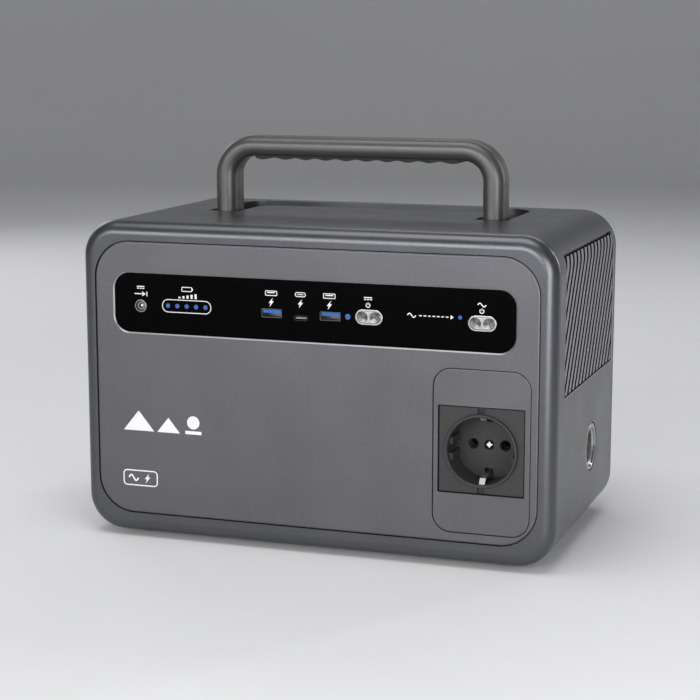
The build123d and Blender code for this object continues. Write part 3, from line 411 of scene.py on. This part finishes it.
def make_node_finishes():
    """Materials for single nodes that need more than their slot's."""
    jack_x, jack_z = DC_IN[0] * MM, DC_IN[1] * MM
    return {
        "main_shell": vent_highlighted_shell("vented_gunmetal", GUNMETAL),
        "handle_rest_pad": moulded("pale_pad", (0.34, 0.34, 0.35), 0.4),
        "dc_input_jack": ringed("jack_metal", jack_x, jack_z, JACK_HIGHLIGHT_RINGS,
                                (0.34, 0.34, 0.34), (0.03, 0.03, 0.03)),
        "dc_input_pin": metal("pin_metal", (0.85, 0.85, 0.85), 0.3),
        "usb_a_shells": metal("usb_metal", (0.16, 0.15, 0.15), 0.34),
        "usb_c_shell": metal("usb_c_metal", (0.06, 0.06, 0.06), 0.34),
        "usb_c_tongue": moulded("usb_c_tongue_grey", (0.30, 0.30, 0.30), 0.4),
        "socket_screw": sunk_star("socket_screw_metal"),
        "socket_earth_clips": metal("clip_metal", (0.50, 0.50, 0.49), 0.38),
        # The contact sleeves' brass is darkened as painted shade for their place deep in the pin
        # holes.
        "socket_contact_sleeves": metal("shade_darkened_brass", (0.10, 0.07, 0.03), 0.4),
        "car_socket_flange": metal("polished_ring", (0.36, 0.36, 0.37), 0.14),
        "car_socket_barrel": metal("satin_barrel", (0.50, 0.50, 0.50), 0.34),
    }


def set_material(obj, mat):
    if not obj.material_slots:
        obj.data.materials.append(mat)
    for s in obj.material_slots:
        s.material = mat


def dress_nodes():
    finishes = make_finishes()
    for sub in frame["record"]["subparts"]:
        set_material(frame["nodes"][sub["node"]], finishes[sub["material_slot"]])
    for node, (x, z) in (("dc_power_button", DC_BUTTON), ("ac_power_button", AC_BUTTON)):
        dishes = brushed_dishes(node + "_metal", x * MM, z * MM, DISH_OFFSET * MM)
        set_material(frame["nodes"][node], dishes.mat)
    for node, shader in make_node_finishes().items():
        set_material(frame["nodes"][node], shader.mat)


# ---------------------------------------------------------------- printed symbols
# Millimetres on the front face: x to the right, z up.

FASCIA_Y = -83.2
PANEL_Y = -84.0
INK = 0.03
THIN, LINE = 0.42, 0.55


def ribbon(points, width, closed=False):
    """Outline pieces of a line of even width with mitred corners."""
    n = len(points)
    sides = []
    for i, (x, z) in enumerate(points):
        before = points[i - 1] if closed or i > 0 else None
        after = points[(i + 1) % n] if closed or i < n - 1 else None
        dirs = []
        if before:
            dirs.append(Vector((x - before[0], z - before[1])).normalized())
        if after:
            dirs.append(Vector((after[0] - x, after[1] - z)).normalized())
        along = sum(dirs, Vector((0, 0))).normalized()
        normal = Vector((-along.y, along.x))
        reach = width / 2 / max(0.35, normal.dot(Vector((-dirs[0].y, dirs[0].x))))
        sides.append(((x + normal.x * reach, z + normal.y * reach),
                      (x - normal.x * reach, z - normal.y * reach)))
    quads = []
    for i in range(n if closed else n - 1):
        a, b = sides[i], sides[(i + 1) % n]
        quads.append([a[0], b[0], b[1], a[1]])
    return quads


def arc(x, z, r, a0, a1, steps=24):
    span = [math.radians(a0 + (a1 - a0) * i / steps) for i in range(steps + 1)]
    return [(x + r * math.cos(t), z + r * math.sin(t)) for t in span]


def pill_line(x, z, w, h, r):
    """Closed rounded rectangle as a list of points."""
    dx, dz = w / 2 - r, h / 2 - r
    points = []
    for sx, sz, a in ((1, 1, 0), (-1, 1, 90), (-1, -1, 180), (1, -1, 270)):
        points += arc(x + sx * dx, z + sz * dz, r, a, a + 90, 8)
    return points


def frame_sign(x, z, w, h, r, line):
    """Outline of a rounded rectangle."""
    return ribbon(pill_line(x, z, w, h, r), line, True)


def bar(x, z, w, h):
    left, right, low, high = x - w / 2, x + w / 2, z - h / 2, z + h / 2
    return [(left, low), (right, low), (right, high), (left, high)]


def sine_sign(x, z, w, h, line):
    """Alternating current: one period of a wave."""
    steps = 20
    wave = [(x + (i / steps - 0.5) * w, z + math.sin(i / steps * 2 * math.pi) * h / 2)
            for i in range(steps + 1)]
    return ribbon(wave, line)


def steady_sign(x, z, w, line):
    """Direct current: a bar over three dashes."""
    dashes = [bar(x + k * w * 0.37, z - line * 1.0, w * 0.25, line) for k in (-1, 0, 1)]
    return [bar(x, z + line * 1.0, w, line)] + dashes


def switch_sign(x, z, r, line):
    """Power: an open ring with an upright bar."""
    return ribbon(arc(x, z, r, 125, 415), line) + [bar(x, z + r * 0.75, line, r * 1.1)]


def bolt_sign(x, z, w, h):
    shape = ((0.30, 0.50), (-0.42, -0.08), (-0.06, -0.08), (-0.28, -0.50), (0.44, 0.12), (0.08, 0.12))
    return [[(x + a * w, z + b * h) for a, b in shape]]


def battery_sign(x, z, w, h, line):
    terminal = bar(x + w / 2 + line, z, line * 1.2, h * 0.45)
    return frame_sign(x, z, w, h, h * 0.2, line) + [terminal]


def plug_in_sign(x, z, line):
    """An arrow that points at an upright bar."""
    shaft = ribbon([(x - 4.0, z), (x + 1.8, z)], line)
    head = [(x + 1.0, z - 1.4), (x + 3.2, z), (x + 1.0, z + 1.4)]
    return shaft + [head, bar(x + 4.0, z, line, 2.8)]


def level_sign(x, z, count=5, pitch=2.6):
    """Bars that grow from left to right."""
    return [bar(x + i * pitch, z + 0.25 * i, 1.3, 0.9 + 0.5 * i) for i in range(count)]


def leader_sign(x, z, line, count=7, pitch=2.6):
    """A dashed arrow that points to the right."""
    tip = x + 19.4
    dashes = [bar(x + i * pitch, z, 1.5, line) for i in range(count)]
    return dashes + [[(tip - 1.8, z - 1.2), (tip, z), (tip - 1.8, z + 1.2)]]


def print_on(name, shapes, y):
    """Thin printed shapes on the face at depth y."""
    verts, faces = [], []
    for shape in shapes:
        area = sum(p[0] * q[1] - q[0] * p[1] for p, q in zip(shape, shape[1:] + shape[:1]))
        if area < 0:
            shape = shape[::-1]
        k, n = len(verts), len(shape)
        verts += [(x * MM, (y - INK) * MM, z * MM) for x, z in shape]
        verts += [(x * MM, (y + INK / 3) * MM, z * MM) for x, z in shape]
        faces.append(list(range(k, k + n)))
        faces.append(list(range(k + 2 * n - 1, k + n - 1, -1)))
        for i in range(n):
            j = (i + 1) % n
            faces.append([k + j, k + i, k + n + i, k + n + j])
    mesh = bpy.data.meshes.new(name)
    mesh.from_pydata(verts, [], faces)
    mesh.validate()
    obj = bpy.data.objects.new(name, mesh)
    bpy.context.scene.collection.objects.link(obj)
    set_material(obj, WHITE_PRINT)
    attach(obj, "case")


def print_ports():
    """A port's outline over a bolt, above each of the three USB ports."""
    sign_z, bolt_z = 153.0, 147.7
    wide = (7.0, 2.6, 0.3), (0.4, 4.6, 0.6)      # outline, then the tongue's rise and size
    slim = (6.2, 2.3, 1.1), (0.0, 3.6, 0.4)
    places = ((-23.5, wide), (-5.5, slim), (12.2, wide))
    for i, (x, (outline, (rise, tongue_w, tongue_h))) in enumerate(places, 1):
        port = frame_sign(x, sign_z, *outline, THIN) + [bar(x, sign_z + rise, tongue_w, tongue_h)]
        print_on("print_port_%d" % i, port, FASCIA_Y)
        print_on("print_bolt_%d" % i, bolt_sign(x, bolt_z, 3.7, 5.4), FASCIA_Y)


def print_fascia():
    input_sign = steady_sign(-106.4, 152.6, 4.8, LINE) + plug_in_sign(-106.4, 148.8, LINE)
    print_on("print_dc_input", input_sign, FASCIA_Y)
    charge = battery_sign(-76.6, 152.7, 6.4, 2.4, THIN) + level_sign(-81.4, 147.7)
    print_on("print_charge", charge, FASCIA_Y)
    print_on("print_charge_ring", frame_sign(-76.9, 142.5, 31.0, 7.4, 3.6, THIN), FASCIA_Y)
    print_ports()
    dc_power = steady_sign(35.5, 152.7, 4.8, LINE) + switch_sign(35.5, 148.9, 1.2, THIN)
    print_on("print_dc_power", dc_power, FASCIA_Y)
    ac_power = sine_sign(102.2, 152.3, 4.8, 2.0, LINE) + switch_sign(102.2, 148.8, 1.2, THIN)
    print_on("print_ac_power", ac_power, FASCIA_Y)
    lamp = sine_sign(61.4, 144.5, 5.0, 2.2, LINE) + leader_sign(66.6, 144.5, LINE)
    print_on("print_ac_lamp", lamp, FASCIA_Y)


def print_panel():
    """Neutral mark of two peaks, a disc and a bar, and a framed badge under it."""
    foot = 66.1
    peaks = [[(x - half, foot), (x + half, foot), (x, foot + rise)]
             for x, half, rise in ((-108.9, 10.0, 12.2), (-89.5, 7.4, 9.1))]
    disc = arc(-73.4, 73.2, 4.0, 0, 360, 32)[:-1]
    print_on("print_mark", peaks + [disc, bar(-73.4, 67.1, 10.4, 2.0)], PANEL_Y)
    badge_z = 36.85
    badge = (frame_sign(-108.5, badge_z, 22.0, 9.1, 2.2, 0.7)
             + sine_sign(-113.0, badge_z, 6.2, 3.4, 0.95) + bolt_sign(-104.0, badge_z, 4.4, 6.2))
    print_on("print_badge", badge, PANEL_Y)


# ---------------------------------------------------------------- stage


def build_floor():
    """Pale floor that sweeps up far behind the object on every side."""
    flat, sweep, wall_top = 2.6, 1.4, 5.0
    steps, turns = 12, 96
    profile = [(0.0, 0.0), (flat, 0.0)]
    for i in range(1, steps + 1):
        a = i / steps * math.pi / 2
        profile.append((flat + sweep * math.sin(a), sweep * (1 - math.cos(a))))
    profile.append((flat + sweep, wall_top))
    verts, faces = [], []
    for r, z in profile:
        for k in range(turns):
            t = 2 * math.pi * k / turns
            verts.append((r * math.cos(t), r * math.sin(t), z))
    for i in range(len(profile) - 1):
        for k in range(turns):
            n = (k + 1) % turns
            faces.append((i * turns + k, i * turns + n, (i + 1) * turns + n, (i + 1) * turns + k))
    mesh = bpy.data.meshes.new("floor")
    mesh.from_pydata(verts, [], faces)
    mesh.shade_smooth()
    floor = bpy.data.objects.new("floor", mesh)
    bpy.context.scene.collection.objects.link(floor)
    s = Shader("floor_paper", 0.85)
    s.colour((0.80, 0.80, 0.81), 0.012, 0.4)
    s.bump(s.noise(0.002, 2), 0.00002)
    set_material(floor, s.mat)


def area_light(name, place, target, size, power):
    data = bpy.data.lights.new(name, "AREA")
    data.shape = "RECTANGLE"
    data.size, data.size_y = size
    data.energy = power
    lamp = bpy.data.objects.new(name, data)
    lamp.location = place
    lamp.rotation_euler = (Vector(target) - Vector(place)).to_track_quat("-Z", "Y").to_euler()
    lamp.visible_camera = False
    bpy.context.scene.collection.objects.link(lamp)


def build_lights():
    area_light("front_left", (-0.82, -1.65, 0.53), (-0.05, -0.08, 0.15), (0.75, 0.26), 6.4)
    area_light("front_right", (-0.08, -1.75, 0.51), (-0.02, -0.08, 0.13), (0.75, 0.32), 8.5)
    area_light("key", (0.60, -0.72, 0.20), (0.10, -0.08, 0.08), (0.45, 0.45), 3.8)
    area_light("overhead", (-0.10, -0.45, 1.85), (0, 0.0, 0.1), (1.6, 1.1), 17)
    area_light("back_right", (0.95, 1.25, 0.55), (0.14, 0.05, 0.14), (0.12, 0.9), 3.2)
    area_light("back_top", (-0.05, 1.30, 1.35), (0, 0, 0.2), (1.3, 0.35), 4.0)
    area_light("back_left", (-1.2, 1.0, 0.7), (-0.1, 0, 0.1), (0.6, 0.6), 3)
    world = bpy.context.scene.world or bpy.data.worlds.new("world")
    bpy.context.scene.world = world
    world.use_nodes = True
    sky = world.node_tree.nodes["Background"]
    sky.inputs["Color"].default_value = (0.94, 0.96, 1.0, 1)
    sky.inputs["Strength"].default_value = 0.16


def build_camera():
    sensor, tilt_down, turn = 36, 9.90, 19.26
    data = bpy.data.cameras.new("camera")
    data.sensor_width = sensor
    data.lens = sensor * 1850 / 700
    data.clip_start, data.clip_end = 0.01, 50
    cam = bpy.data.objects.new("camera", data)
    cam.location = (0.36785, -1.06532, 0.30412)
    cam.rotation_euler = (math.radians(90 - tilt_down), 0, math.radians(turn))
    bpy.context.scene.collection.objects.link(cam)
    bpy.context.scene.camera = cam


dress_nodes()
WHITE_PRINT = moulded("white_print", (0.80, 0.80, 0.81), 0.45, 0.0002, 0.000004, 0.02).mat
print_fascia()
print_panel()
build_floor()
build_lights()
build_camera()
bpy.context.scene.view_settings.view_transform = "Standard"
